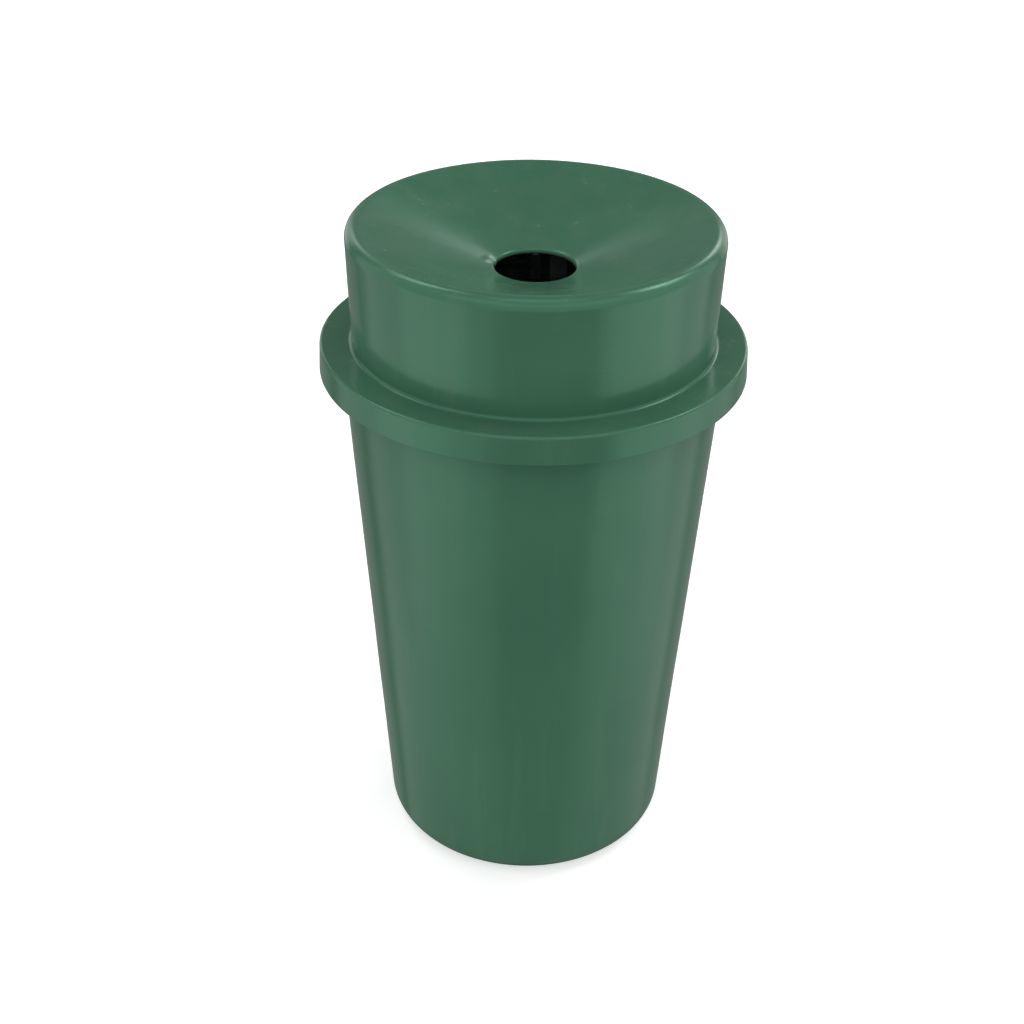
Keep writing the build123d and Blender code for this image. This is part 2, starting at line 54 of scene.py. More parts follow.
# ---- dimensions of the hood, the same as in the CAD ----
HEIGHT = 800 * MM
HOOD_WALL = 4 * MM
RIM_ROUND = 13 * MM
DRUM_TOP_RADIUS = 210.9 * MM
DRUM_FOOT_RADIUS = 206.2 * MM
BRIM_TOP = 663 * MM
BRIM_RADIUS = 242.8 * MM
BRIM_EDGE_ROUND = 3 * MM
DRUM_FOOT_ROUND = 4 * MM
SKIRT_FOOT = 630.8 * MM
SKIRT_FOOT_RADIUS = 244.2 * MM
THROW_HOLE_RADIUS = 45.8 * MM
THROW_HOLE_HEIGHT = 748.5 * MM
THROW_LIP_ROUND = 3.5 * MM
THROW_LIP_DEPTH = 4.5 * MM

# ---- dimensions of the body ----
BODY_WALL = 5 * MM
BODY_FOOT_RADIUS = 172.7 * MM
BODY_REF_RADIUS = 217.5 * MM
BODY_CORNER_ROUND = 30 * MM
FLANGE_UNDERSIDE = 649 * MM
FLANGE_RADIUS = 233.5 * MM
FLANGE_ROOT_ROUND = 4 * MM
FOOT_RING_RADIUS = 118 * MM
FLOOR_STEP_RADIUS = 110 * MM
FLOOR_LIFT = 12 * MM
FLOOR_STEP_ROUND = 3 * MM
ANCHOR_CIRCLE_RADIUS = 100 * MM
ANCHOR_ANGLE = math.radians(45)
ANCHOR_HOLE_RADIUS = 5.5 * MM
ANCHOR_BOSS_RADIUS = 17 * MM
DRAIN_HOLE_RADIUS = 10 * MM
PLATE_RIVET_CIRCLE = 66 * MM
RIVET_HOLE_RADIUS = 2.5 * MM
FIXINGS = 4

# ---- the lock's place in the hood ----
LOCK_HEIGHT = 684 * MM
LOCK_BOSS_RADIUS = 16 * MM
LOCK_BOSS_FLARE = HOOD_WALL / 4
LOCK_BOSS_FACE = 199 * MM
LOCK_SEAT_RADIUS = 13 * MM
LOCK_SEAT_CUT = 0.45 * MM
LOCK_HOLE_RADIUS = 9.55 * MM
LOCK_HOLE_FLATS = 16.1 * MM

# ---- dimensions of the liner ----
LINER_SHEET = 1.2 * MM
LINER_FOOT = 20.3 * MM
LINER_FOOT_RADIUS = 150 * MM
LINER_TOP_RADIUS = 175.5 * MM
LINER_TOP = 608 * MM
RIM_WIRE_RADIUS = 2 * MM
RIM_CURL = math.radians(250)

# ---- mesh and finish of the mouldings ----
SHOWN_SIDE, HIDDEN_SIDE = 0, 1
TRIMMED_EDGE_ROUND = 0.8 * MM
LEAST_ROUND = 0.5 * MM
ARC_STEP = 1 * MM
LEAST_ARC_STEPS = 3
HOOD_STEP = 2.5 * MM
BODY_STEP = 7 * MM
TURNS = 240
PEG_SIDES = 48
RIVET_HOLE_SIDES = 24
CUT_PAST = 1 * MM
SHARP_ANGLE = math.radians(38)
WAVE_LENGTH = 130 * MM
WAVE_DEPTH = 0.55 * MM
WAVE_SEED = 3
BLEMISH_ANGLE = math.radians(172)
BLEMISH_REACH = 22 * MM
BLEMISH_DEPTH = 1.9 * MM
BLEMISH_GRAIN = 8 * MM

# ---- liner details ----
SEAM_HALF_WIDTH = 4 * MM
SEAM_STEP = (0.8, 0.92, 1.05)  # start, middle and end of the seam's step down, in half widths
SEAM_HEIGHT = 1.4 * MM
SEAM_ANGLE = math.radians(90)
BEAD_HEIGHTS = (170 * MM, 420 * MM)
BEAD_HALF_WIDTH = 7 * MM
BEAD_DEPTH = 2.4 * MM
SEAM_TOP = LINER_TOP - BEAD_HALF_WIDTH
SEAM_END = 2 * MM
LINER_STEP = 6 * MM
BEAD_STEP = 1.4 * MM
CURL_STEPS = 20


# ---------------------------------------------------------------- shapes


def slope_of(rise, reach, rounding):
    """Slope of a line that meets a fixed point and is tangent to a rounding at the other end."""
    return math.atan2(rise, reach) + math.asin(rounding / math.hypot(reach, rise))


def drum_radius(height):
    """Outer radius of the hood's drum."""
    share = (height - BRIM_TOP) / (HEIGHT - RIM_ROUND - BRIM_TOP)
    return DRUM_FOOT_RADIUS + share * (DRUM_TOP_RADIUS - DRUM_FOOT_RADIUS)


def body_radius(height):
    """Outer radius of the body's wall."""
    return BODY_FOOT_RADIUS + height / SKIRT_FOOT * (BODY_REF_RADIUS - BODY_FOOT_RADIUS)


def liner_radius(height):
    """Outer radius of the liner's wall."""
    share = (height - LINER_FOOT) / (LINER_TOP - LINER_FOOT)
    return LINER_FOOT_RADIUS + share * (LINER_TOP_RADIUS - LINER_FOOT_RADIUS)


def turned(line):
    """The normal on the right-hand side of a direction in the outline's plane."""
    return Vector((line.y, -line.x)).normalized()


def offset_corners(corners, distance):
    """Corners of the same open line, moved to its right-hand side."""
    moved = []
    for index, corner in enumerate(corners):
        before = corner - corners[index - 1] if index else None
        after = corners[index + 1] - corner if index + 1 < len(corners) else None
        first = turned(before or after)
        second = turned(after or before)
        middle = (first + second).normalized()
        moved.append(corner + middle * distance / middle.dot(first))
    return moved


def rounded(corners, radii, run_step):
    """A closed outline with its corners rounded, its straight runs cut into short steps."""
    outline = []
    count = len(corners)
    for index, corner in enumerate(corners):
        back = corners[index - 1] - corner
        ahead = corners[(index + 1) % count] - corner
        back_way, ahead_way = back.normalized(), ahead.normalized()
        half = back_way.angle(ahead_way) / 2
        reach = radii[index] / math.tan(half)
        centre = corner + (back_way + ahead_way).normalized() * radii[index] / math.sin(half)
        start = corner + back_way * reach - centre
        sweep = start.angle_signed(corner + ahead_way * reach - centre)
        steps = max(LEAST_ARC_STEPS, math.ceil(abs(sweep) * radii[index] / ARC_STEP))
        turns = [Matrix.Rotation(-sweep * step / steps, 2) for step in range(steps + 1)]
        arc = [centre + turn @ start for turn in turns]
        if outline:
            outline += between(outline[-1][0], arc[0], index, run_step)
        outline += [(point, index) for point in arc]
    return outline + between(outline[-1][0], outline[0][0], count, run_step)


def between(start, end, index, run_step):
    """Points inside a straight run, each with the number of the corner that it leads to."""
    steps = max(1, math.ceil((end - start).length / run_step))
    return [(start.lerp(end, step / steps), index) for step in range(1, steps)]


def moulding(line, radii, wall, run_step):
    """Closed outline of a moulded wall as (point, side): shown on the line, hidden on its right."""
    shown = [Vector(point) for point in line]
    hidden = offset_corners(shown, wall)
    hidden_radii = []
    for index, radius in enumerate(radii, start=1):
        turn = (shown[index] - shown[index - 1]).angle_signed(shown[index + 1] - shown[index])
        hidden_radii.append(max(LEAST_ROUND, radius - math.copysign(wall, turn)))
    ends = TRIMMED_EDGE_ROUND
    corners = shown + hidden[::-1]
    all_radii = [ends, *radii, ends, ends, *hidden_radii[::-1], ends]
    outline = rounded(corners, all_radii, run_step)
    last_shown = len(shown)
    shown_part = [(point, SHOWN_SIDE) for point, index in outline if index < last_shown]
    hidden_part = [(point, HIDDEN_SIDE) for point, index in outline if index >= last_shown]
    return shown_part + hidden_part


def lathe(name, outline, angles, change):
    """Object made by turning an outline of (point, side) round the Z axis.

    The side picks the material, and change(point, angle) gives each point its final place."""
    mesh = bmesh.new()
    rings = []
    for angle in angles:
        across = Vector((math.cos(angle), math.sin(angle), 0))
        ring = []
        for point, _ in outline:
            place = across * point.x + Vector((0, 0, point.y))
            ring.append(mesh.verts.new(change(place, angle)))
        rings.append(ring)
    for index, ring in enumerate(rings):
        following = rings[(index + 1) % len(rings)]
        for step, (_, side) in enumerate(outline):
            onward = (step + 1) % len(outline)
            corners = (ring[step], following[step], following[onward], ring[onward])
            face = mesh.faces.new(corners)
            face.material_index = side
            face.smooth = True
    bmesh.ops.recalc_face_normals(mesh, faces=mesh.faces)
    return as_object(name, mesh)


def as_object(name, mesh):
    """An object in the scene made from a bmesh."""
    data = bpy.data.meshes.new(name)
    mesh.to_mesh(data)
    mesh.free()
    piece = bpy.data.objects.new(name, data)
    bpy.context.scene.collection.objects.link(piece)
    return piece


def even_angles(count):
    """Angles spread evenly round a full turn."""
    return [math.tau * step / count for step in range(count)]


def peg(start, end, radius, end_radius=None, flats=None, sides=PEG_SIDES):
    """A round rod between two points as (vertices, faces), flat above and below if asked for."""
    axis = (end - start).normalized()
    upright = Vector((0, 0, 1)) if abs(axis.z) < 0.5 else Vector((0, 1, 0))
    sideways = upright.cross(axis).normalized()
    upright = axis.cross(sideways)
    points = []
    for place, size in ((start, radius), (end, end_radius or radius)):
        for angle in even_angles(sides):
            up = size * math.sin(angle)
            if flats:
                up = max(-flats / 2, min(flats / 2, up))
            points.append(place + sideways * size * math.cos(angle) + upright * up)
    faces = [tuple(range(sides))[::-1], tuple(range(sides, 2 * sides))]
    for side in range(sides):
        onward = (side + 1) % sides
        faces.append((side, onward, sides + onward, sides + side))
    return points, faces


def combine(piece, pegs, operation, side):
    """Joins pegs to a piece or cuts them out of it; new faces take the given side's material."""
    mesh = bmesh.new()
    for points, faces in pegs:
        corners = [mesh.verts.new(point) for point in points]
        for face in faces:
            mesh.faces.new([corners[corner] for corner in face]).material_index = side
    bmesh.ops.recalc_face_normals(mesh, faces=mesh.faces)
    tool = as_object(piece.name + "_tool", mesh)
    for material in piece.data.materials:
        tool.data.materials.append(material)
    step = piece.modifiers.new("combine", "BOOLEAN")
    step.object = tool
    step.operation = operation
    step.solver = "EXACT"
    bpy.context.view_layer.update()
    evaluated = piece.evaluated_get(bpy.context.evaluated_depsgraph_get())
    result = bpy.data.meshes.new_from_object(evaluated)
    piece.modifiers.clear()
    piece.data = result
    bpy.data.objects.remove(tool)


def finish_piece(piece, name, body):
    """Stands a finished piece in for a CAD node."""
    piece.data.name = name
    piece.data.set_sharp_from_angle(angle=SHARP_ANGLE)
    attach(piece, body)
    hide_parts(name)


def smooth_share(value, low, high):
    """0 below low, 1 above high and a smooth curve between."""
    share = max(0.0, min(1.0, (value - low) / (high - low)))
    return share * share * (3 - 2 * share)


def unevenness(point):
    """Slow waves of a hand-laid moulding."""
    return noise.noise_vector(point / WAVE_LENGTH) * WAVE_DEPTH


def dress_moulding(piece, slot):
    """Gelcoat on the shown side of a moulding and bare laminate on its hidden side."""
    piece.data.materials.append(finishes[slot])
    piece.data.materials.append(hidden_finish)


# ---------------------------------------------------------------- node helpers

# Where a noise from 0 to 1 starts and ends a patch of wear or of scratches, the scale of the noise
# that draws a scratch, long in X and Y and fine in Z, and how softly the line's edge fades.
WEAR_PATCHES = (0.38, 0.62)
SCRATCH_PATCHES = (0.5, 0.68)
SCRATCH_STRETCH = (11, 11, 640)
SCRATCH_EDGE = 0.05


class Shader:
    """Builds the nodes of one procedural material or world; a value is a number or a socket."""

    def __init__(self, owner):
        owner.use_nodes = True
        self.owner = owner
        self.tree = owner.node_tree

    def node(self, kind, settings=None, **inputs):
        made = self.tree.nodes.new("ShaderNode" + kind)
        for key, value in (settings or {}).items():
            setattr(made, key, value)
        for key, value in inputs.items():
            self.feed(made.inputs[key.replace("_", " ")], value)
        return made

    def feed(self, socket, value):
        if isinstance(value, bpy.types.NodeSocket):
            self.tree.links.new(value, socket)
        else:
            socket.default_value = value

    def math(self, operation, *values):
        made = self.tree.nodes.new("ShaderNodeMath")
        made.operation = operation
        for socket, value in zip(made.inputs, values):
            self.feed(socket, value)
        return made.outputs[0]

    def remap(self, value, low, high, to_low=0.0, to_high=1.0):
        made = self.node("MapRange", {"interpolation_type": "SMOOTHSTEP"}, Value=value)
        for socket, number in zip(list(made.inputs)[1:5], (low, high, to_low, to_high)):
            self.feed(socket, number)
        return made.outputs[0]

    def mix(self, share, first, second):
        made = self.tree.nodes.new("ShaderNodeMix")
        made.data_type = "RGBA"
        for socket, value in ((0, share), (6, first), (7, second)):
            self.feed(made.inputs[socket], value)
        return made.outputs[2]

    def place(self, stretch=(1, 1, 1), turn=(0, 0, 0)):
        coords = self.node("TexCoord").outputs["Object"]
        return self.node("Mapping", Vector=coords, Scale=stretch, Rotation=turn).outputs[0]

    def noise(self, scale, detail=3.0, roughness=0.5, distortion=0.0, where=None):
        made = self.node("TexNoise", Vector=where or self.place(), Scale=scale, Detail=detail)
        made.inputs["Roughness"].default_value = roughness
        made.inputs["Distortion"].default_value = distortion
        return made.outputs["Fac"]

    def layer(self, under, mask, share, colour):
        """A colour laid over another where the mask is 1, let through by the share."""
        return self.mix(self.math("MULTIPLY", mask, share), under, colour)

    def plus(self, value, mask, amount):
        """A value raised by the amount where the mask is 1."""
        return self.math("ADD", value, self.math("MULTIPLY", mask, amount))

    def bump(self, height, strength, distance, onto=None):
        made = self.node("Bump", Height=height, Strength=strength, Distance=distance)
        if onto:
            self.feed(made.inputs["Normal"], onto)
        return made.outputs[0]

    def groove(self, mask, strength, distance, onto=None):
        """A bump that goes inwards where the mask is 1."""
        return self.bump(self.math("MULTIPLY", mask, -1.0), strength, distance, onto)

    def edge_wear(self, low, high, patch_scale):
        """1 on worn convex edges, broken up by a patchy noise."""
        pointed = self.node("NewGeometry").outputs["Pointiness"]
        edge = self.remap(pointed, low, high)
        patches = self.remap(self.noise(patch_scale, 4), *WEAR_PATCHES)
        return self.math("MULTIPLY", edge, patches)

    def scratches(self, turns, threshold, patch_scale):
        """Sparse fine lines in the given directions, only in patches."""
        total = 0.0
        for turn in turns:
            where = self.place(SCRATCH_STRETCH, turn)
            line = self.noise(1.0, 2, where=where)
            line = self.remap(line, threshold, threshold + SCRATCH_EDGE)
            total = self.math("MAXIMUM", total, line)
        patches = self.remap(self.noise(patch_scale, 2), *SCRATCH_PATCHES)
        return self.math("MULTIPLY", total, patches)

    def dress(self, **inputs):
        """Sets inputs of the Principled shader, and gives back the material."""
        surface = self.tree.nodes["Principled BSDF"]
        for key, value in inputs.items():
            self.feed(surface.inputs[key.replace("_", " ")], value)
        return self.owner


def new_shader(name):
    """A Shader for a new material."""
    return Shader(bpy.data.materials.new(name))


def scaled(colour, factor):
    """A colour made lighter or darker, with full alpha."""
    return tuple(min(1.0, channel * factor) for channel in colour[:3]) + (1.0,)


def blended(first, second, share):
    """A colour part of the way from one to another, with full alpha."""
    return tuple(a + (b - a) * share for a, b in zip(first[:3], second[:3])) + (1.0,)


# ---------------------------------------------------------------- materials

WHITE = (1.0, 1.0, 1.0, 1.0)
DUST = (0.28, 0.27, 0.23, 1.0)
SOIL = (0.11, 0.085, 0.055, 1.0)
ZINC_PATINA = (0.52, 0.54, 0.55, 1.0)
ZINC_SCRATCHED = (0.80, 0.81, 0.82, 1.0)
ZINC_RUBBED = (0.78, 0.79, 0.80, 1.0)
GELCOAT_SHEEN = (0.42, 1.0, 0.66, 1.0)
GELCOAT_DEPTH = (0.84, 1.0, 0.94)
SPLASH_HEIGHTS = (4 * MM, 50 * MM)

# Ways that scratches and glass strands lie, as turns about X, Y and Z in radians.
GELCOAT_SCRATCHES = ((0.2, 0.1, 0), (1.3, 0.4, 0.2), (0.5, 1.2, 0.9))
ZINC_SCRATCHES = ((0.1, 0, 0), (1.5, 0.3, 0.2), (0.7, 0.9, 0.4))
METAL_SCRATCHES = ((0.1, 0, 0), (1.57, 0, 0.2), (0.8, 0.5, 0.4))
STRAND_WAYS = ((0, 0, 0.3), (0.9, 0.2, 1.1), (1.7, 0.5, 0.4), (0.4, 1.4, 2.0))
STRAND_STRETCH = (46, 46, 520)

# What differs between slots of the same kind.  Gelcoat: how its colour clouds lie.  Zinc: the
# spangle's scale and the roughness.  Metal: the roughness, a second colour and its patches' scale.
GELCOAT_LOOKS = {"hood_gelcoat": (0.2, 0.1, 0.4), "body_gelcoat": (0.7, 0.3, 1.4)}
ZINC_LOOKS = {
    "galvanised_plate": (85, 0.30),
    "galvanised_sheet": (62, 0.26),
    "galvanised_rod": (170, 0.34),
}
METAL_LOOKS = {
    "rivet_alloy": (0.26, (0.66, 0.66, 0.67, 1), 90),
    "lock_chrome": (0.07, (0.76, 0.77, 0.79, 1), 60),
    "zinc_plated": (0.24, (0.68, 0.66, 0.55, 1), 45),
}


def gelcoat(name, colour, cloud_turn):
    """Pigmented gelcoat off a waxed mould: satin gloss, flow marks, orange peel and light wear."""
    s = new_shader(name)
    colour = tuple(channel * depth for channel, depth in zip(colour, GELCOAT_DEPTH))

    clouds = s.noise(scale=6.5, where=s.place(turn=cloud_turn))
    grain = s.noise(scale=110, detail=4, roughness=0.65)
    tone = s.mix(s.remap(clouds, 0.3, 0.7), scaled(colour, 0.95), scaled(colour, 1.05))
    tone = s.layer(tone, grain, 0.12, scaled(colour, 1.25))
    runs = s.noise(scale=1.0, roughness=0.6, where=s.place(stretch=(38, 38, 2.2)))
    runs = s.remap(runs, 0.52, 0.75)
    tone = s.layer(tone, runs, 0.05, DUST)
    marks = s.scratches(GELCOAT_SCRATCHES, threshold=0.66, patch_scale=9)
    tone = s.layer(tone, marks, 0.04, scaled(colour, 2.2))
    worn = s.edge_wear(low=0.512, high=0.54, patch_scale=60)
    tone = s.layer(tone, worn, 0.22, scaled(colour, 1.8))

    # soil splashed on the foot, and dust that settles on what faces up
    height = s.node("SeparateXYZ", Vector=s.place()).outputs["Z"]
    near_ground = s.remap(height, *SPLASH_HEIGHTS, 1.0, 0.0)
    drops = s.remap(s.noise(scale=75, detail=5, roughness=0.7), 0.45, 0.75)
    tone = s.layer(tone, s.math("MULTIPLY", near_ground, drops), 0.18, SOIL)
    normal = s.node("NewGeometry").outputs["Normal"]
    upward = s.node("SeparateXYZ", Vector=normal).outputs["Z"]
    film = s.remap(s.noise(scale=24, detail=5, roughness=0.6), 0.4, 0.8)
    settled = s.math("MULTIPLY", s.remap(upward, 0.5, 1.0), film)
    tone = s.layer(tone, settled, 0.05, DUST)

    sheen = s.remap(s.noise(scale=19, detail=4, roughness=0.6), 0.25, 0.75, 0.15, 0.21)
    sheen = s.plus(sheen, s.math("MAXIMUM", marks, runs), 0.08)
    sheen = s.plus(sheen, settled, 0.08)
    peel = s.bump(s.noise(scale=330, detail=2, roughness=0.4), 0.10, 0.3 * MM)
    peel = s.bump(s.noise(scale=48, detail=2, roughness=0.4), 0.10, 0.8 * MM, peel)
    peel = s.groove(marks, 0.05, 0.2 * MM, peel)

    # fine dust keeps the surface from turning white where it is seen at a shallow angle
    shallow = s.node("LayerWeight", Blend=0.5).outputs["Facing"]
    level = s.remap(shallow, 0.25, 0.85, 0.5, 0.11)
    s.dress(Specular_IOR_Level=level, Specular_Tint=GELCOAT_SHEEN)
    return s.dress(Base_Color=tone, Roughness=sheen, Normal=peel)


def laminate(name, colour):
    """The hidden side of a moulding: chopped glass strands rolled out in pigmented resin."""
    s = new_shader(name)
    strands = 0.0
    for turn in STRAND_WAYS:
        where = s.place(STRAND_STRETCH, turn)
        strand = s.noise(scale=1.0, detail=2, roughness=0.4, distortion=0.4, where=where)
        strands = s.math("MAXIMUM", strands, s.remap(strand, 0.56, 0.66))
    pools = s.noise(scale=17, detail=4, roughness=0.55)
    tone = s.mix(s.remap(pools, 0.3, 0.7), scaled(colour, 0.42), scaled(colour, 0.78))
    tone = s.layer(tone, strands, 0.4, blended(scaled(colour, 1.7), WHITE, 0.06))
    sheen = s.remap(pools, 0.3, 0.7, 0.36, 0.62)
    rough = s.bump(strands, 0.6, 0.9 * MM)
    rough = s.bump(s.noise(scale=70, detail=4, roughness=0.6), 0.5, 1.6 * MM, rough)
    return s.dress(Base_Color=tone, Roughness=sheen, Specular_Tint=GELCOAT_SHEEN, Normal=rough)


def galvanised(name, colour, spangle, roughness):
    """Hot-dip zinc: crystal spangle, cloudy white patina and faint drawn scratches."""
    s = new_shader(name)
    waves = s.node("TexNoise", Scale=spangle).outputs["Color"]
    where = s.node("MixRGB", Fac=0.12, Color1=s.place(), Color2=waves).outputs[0]
    cells = s.node("TexVoronoi", Vector=where, Scale=spangle).outputs["Color"]
    crystals = s.node("SeparateColor", Color=cells).outputs[0]
    tone = s.mix(s.remap(crystals, 0.0, 1.0), scaled(colour, 0.72), scaled(colour, 1.22))
    patina = s.remap(s.noise(scale=14, detail=6, roughness=0.62), 0.42, 0.72)
    tone = s.layer(tone, patina, 0.45, ZINC_PATINA)
    marks = s.scratches(ZINC_SCRATCHES, threshold=0.60, patch_scale=22)
    tone = s.layer(tone, marks, 0.35, ZINC_SCRATCHED)
    tone = s.layer(tone, s.edge_wear(low=0.52, high=0.58, patch_scale=90), 0.5, ZINC_RUBBED)
    sheen = s.plus(roughness, crystals, 0.14)
    sheen = s.plus(sheen, patina, 0.16)
    relief = s.bump(crystals, 0.12, 0.2 * MM)
    relief = s.bump(s.noise(scale=160, detail=4, roughness=0.6), 0.15, 0.2 * MM, relief)
    relief = s.groove(marks, 0.3, 0.1 * MM, relief)
    return s.dress(Base_Color=tone, Metallic=0.93, Roughness=sheen, Normal=relief)


def rubber(name, colour):
    """Black extruded trim with a chalky bloom and fine lengthways lines."""
    s = new_shader(name)
    bloom = s.remap(s.noise(scale=36, detail=5, roughness=0.6), 0.35, 0.75)
    tone = s.layer(scaled(colour, 0.8), bloom, 0.5, scaled(colour, 2.1))
    sheen = s.remap(bloom, 0.0, 1.0, 0.58, 0.8)
    lines = s.noise(scale=1.0, detail=2, where=s.place(stretch=(6, 6, 2400)))
    relief = s.bump(lines, 0.3, 0.2 * MM)
    relief = s.bump(s.noise(scale=900), 0.2, 0.1 * MM, relief)
    return s.dress(Base_Color=tone, Roughness=sheen, Normal=relief)


def bright_metal(name, colour, roughness, second_colour, tint_scale):
    """Plated or bare small hardware: smudges, slight tint changes, hairlines and rubbed edges."""
    s = new_shader(name)
    drift = s.remap(s.noise(scale=tint_scale), 0.35, 0.65)
    tone = s.mix(drift, scaled(colour, 0.96), second_colour)
    specks = s.remap(s.noise(scale=tint_scale * 14, detail=5, roughness=0.7), 0.58, 0.72)
    tone = s.layer(tone, specks, 0.3, scaled(colour, 0.55))
    worn = s.edge_wear(low=0.52, high=0.6, patch_scale=240)
    tone = s.layer(tone, worn, 0.4, scaled(colour, 1.2))
    sheen = s.plus(roughness, s.noise(scale=tint_scale * 2, detail=4), 0.14)
    sheen = s.plus(sheen, specks, 0.25)
    marks = s.scratches(METAL_SCRATCHES, threshold=0.58, patch_scale=120)
    relief = s.groove(marks, 0.35, 0.06 * MM)
    relief = s.bump(s.noise(scale=tint_scale * 9), 0.08, 0.1 * MM, relief)
    return s.dress(Base_Color=tone, Metallic=1.0, Roughness=sheen, Normal=relief)


finishes = {"trim_rubber": rubber("trim_rubber", base_colours["trim_rubber"])}
for slot, turn in GELCOAT_LOOKS.items():
    finishes[slot] = gelcoat(slot, base_colours[slot], turn)
for slot, look in ZINC_LOOKS.items():
    finishes[slot] = galvanised(slot, base_colours[slot], *look)
for slot, look in METAL_LOOKS.items():
    finishes[slot] = bright_metal(slot, base_colours[slot], *look)
hidden_finish = laminate("glass_laminate", base_colours["body_gelcoat"])


# ---------------------------------------------------------------- hood

# the height at which the funnel and the drum would meet if the rim weren't rounded
rim_reach = DRUM_TOP_RADIUS - RIM_ROUND - THROW_HOLE_RADIUS
funnel_slope = slope_of(HEIGHT - RIM_ROUND - THROW_HOLE_HEIGHT, rim_reach, RIM_ROUND)
rim_corner = THROW_HOLE_HEIGHT + (DRUM_TOP_RADIUS - THROW_HOLE_RADIUS) * math.tan(funnel_slope)


def hood_change(point, angle):
    """Waves of the hood, and the lumpy patch of gelcoat beside the throw hole."""
    wave = unevenness(point + Vector((0, 0, HEIGHT)))
    wave.z *= smooth_share(point.z, BRIM_TOP + RIM_ROUND, THROW_HOLE_HEIGHT)
    spot = Vector((math.cos(BLEMISH_ANGLE), math.sin(BLEMISH_ANGLE), 0)) * THROW_HOLE_RADIUS
    spot.z = THROW_HOLE_HEIGHT
    near = 1 - smooth_share((point - spot).length, 0, BLEMISH_REACH)
    lumps = noise.noise_vector(point / BLEMISH_GRAIN) * BLEMISH_DEPTH * near
    return point + wave + lumps


def build_hood():
    line = (
        (THROW_HOLE_RADIUS, THROW_HOLE_HEIGHT - THROW_LIP_DEPTH),
        (THROW_HOLE_RADIUS, THROW_HOLE_HEIGHT),
        (drum_radius(rim_corner), rim_corner),
        (DRUM_FOOT_RADIUS, BRIM_TOP),
        (BRIM_RADIUS, BRIM_TOP),
        (SKIRT_FOOT_RADIUS, SKIRT_FOOT),
    )
    radii = (THROW_LIP_ROUND, RIM_ROUND, DRUM_FOOT_ROUND, BRIM_EDGE_ROUND)
    outline = moulding(line, radii, HOOD_WALL, HOOD_STEP)
    hood = lathe("hood_moulding", outline, even_angles(TURNS), hood_change)
    dress_moulding(hood, "hood_gelcoat")
    add_lock_seat(hood)
    finish_piece(hood, "lid_hood", "hood")


def add_lock_seat(hood):
    """A boss inside the back of the drum, a pocket outside and a hole with flats for the lock."""
    wall = drum_radius(LOCK_HEIGHT)
    face = on_lock_axis(LOCK_BOSS_FACE)
    boss_root = on_lock_axis(wall - HOOD_WALL / 2)
    boss = peg(face, boss_root, LOCK_BOSS_RADIUS, LOCK_BOSS_RADIUS + LOCK_BOSS_FLARE)
    combine(hood, [boss], "UNION", HIDDEN_SIDE)
    seat = on_lock_axis(wall - LOCK_SEAT_CUT)
    pocket = peg(seat, on_lock_axis(wall + HOOD_WALL), LOCK_SEAT_RADIUS)
    combine(hood, [pocket], "DIFFERENCE", SHOWN_SIDE)
    past = Vector((0, CUT_PAST, 0))
    through = peg(face - past, seat + past, LOCK_HOLE_RADIUS, flats=LOCK_HOLE_FLATS)
    combine(hood, [through], "DIFFERENCE", HIDDEN_SIDE)


def on_lock_axis(distance):
    """The point on the lock's axis at a distance from the bin's axis."""
    return Vector((0, distance, LOCK_HEIGHT))


# ---------------------------------------------------------------- body


def body_change(point, angle):
    """Waves of the body, which leave its foot and its flange flat."""
    wave = unevenness(point)
    wave.z = 0
    return point + wave


def on_circle(radius, count, start):
    """Points spread evenly on a circle round the Z axis."""
    angles = [start + angle for angle in even_angles(count)]
    return [Vector((math.cos(angle), math.sin(angle), 0)) * radius for angle in angles]


def build_body():
    line = (
        (FLANGE_RADIUS, FLANGE_UNDERSIDE),
        (body_radius(FLANGE_UNDERSIDE), FLANGE_UNDERSIDE),
        (BODY_FOOT_RADIUS, 0),
        (FOOT_RING_RADIUS, 0),
        (FLOOR_STEP_RADIUS, FLOOR_LIFT),
        (DRAIN_HOLE_RADIUS, FLOOR_LIFT),
    )
    radii = (FLANGE_ROOT_ROUND, BODY_CORNER_ROUND, FLOOR_STEP_ROUND, FLOOR_STEP_ROUND)
    outline = moulding(line, radii, BODY_WALL, BODY_STEP)
    body = lathe("body_moulding", outline, even_angles(TURNS), body_change)
    dress_moulding(body, "body_gelcoat")
    add_floor_fixings(body)
    finish_piece(body, "body_shell", "body")


def add_floor_fixings(body):
    """Bosses with holes for the ground anchors, and holes for the floor plate's rivets."""
    anchors = on_circle(ANCHOR_CIRCLE_RADIUS, FIXINGS, ANCHOR_ANGLE)
    rivets = on_circle(PLATE_RIVET_CIRCLE, FIXINGS, 0)
    boss_top = Vector((0, 0, FLOOR_LIFT + BODY_WALL / 2))
    bosses = [peg(place, place + boss_top, ANCHOR_BOSS_RADIUS) for place in anchors]
    combine(body, bosses, "UNION", SHOWN_SIDE)
    low = Vector((0, 0, -CUT_PAST))
    high = Vector((0, 0, FLOOR_LIFT + BODY_WALL + CUT_PAST))
    holes = [peg(place + low, place + high, ANCHOR_HOLE_RADIUS) for place in anchors]
    for place in rivets:
        holes.append(peg(place + low, place + high, RIVET_HOLE_RADIUS, sides=RIVET_HOLE_SIDES))
    combine(body, holes, "DIFFERENCE", HIDDEN_SIDE)


# ---------------------------------------------------------------- liner


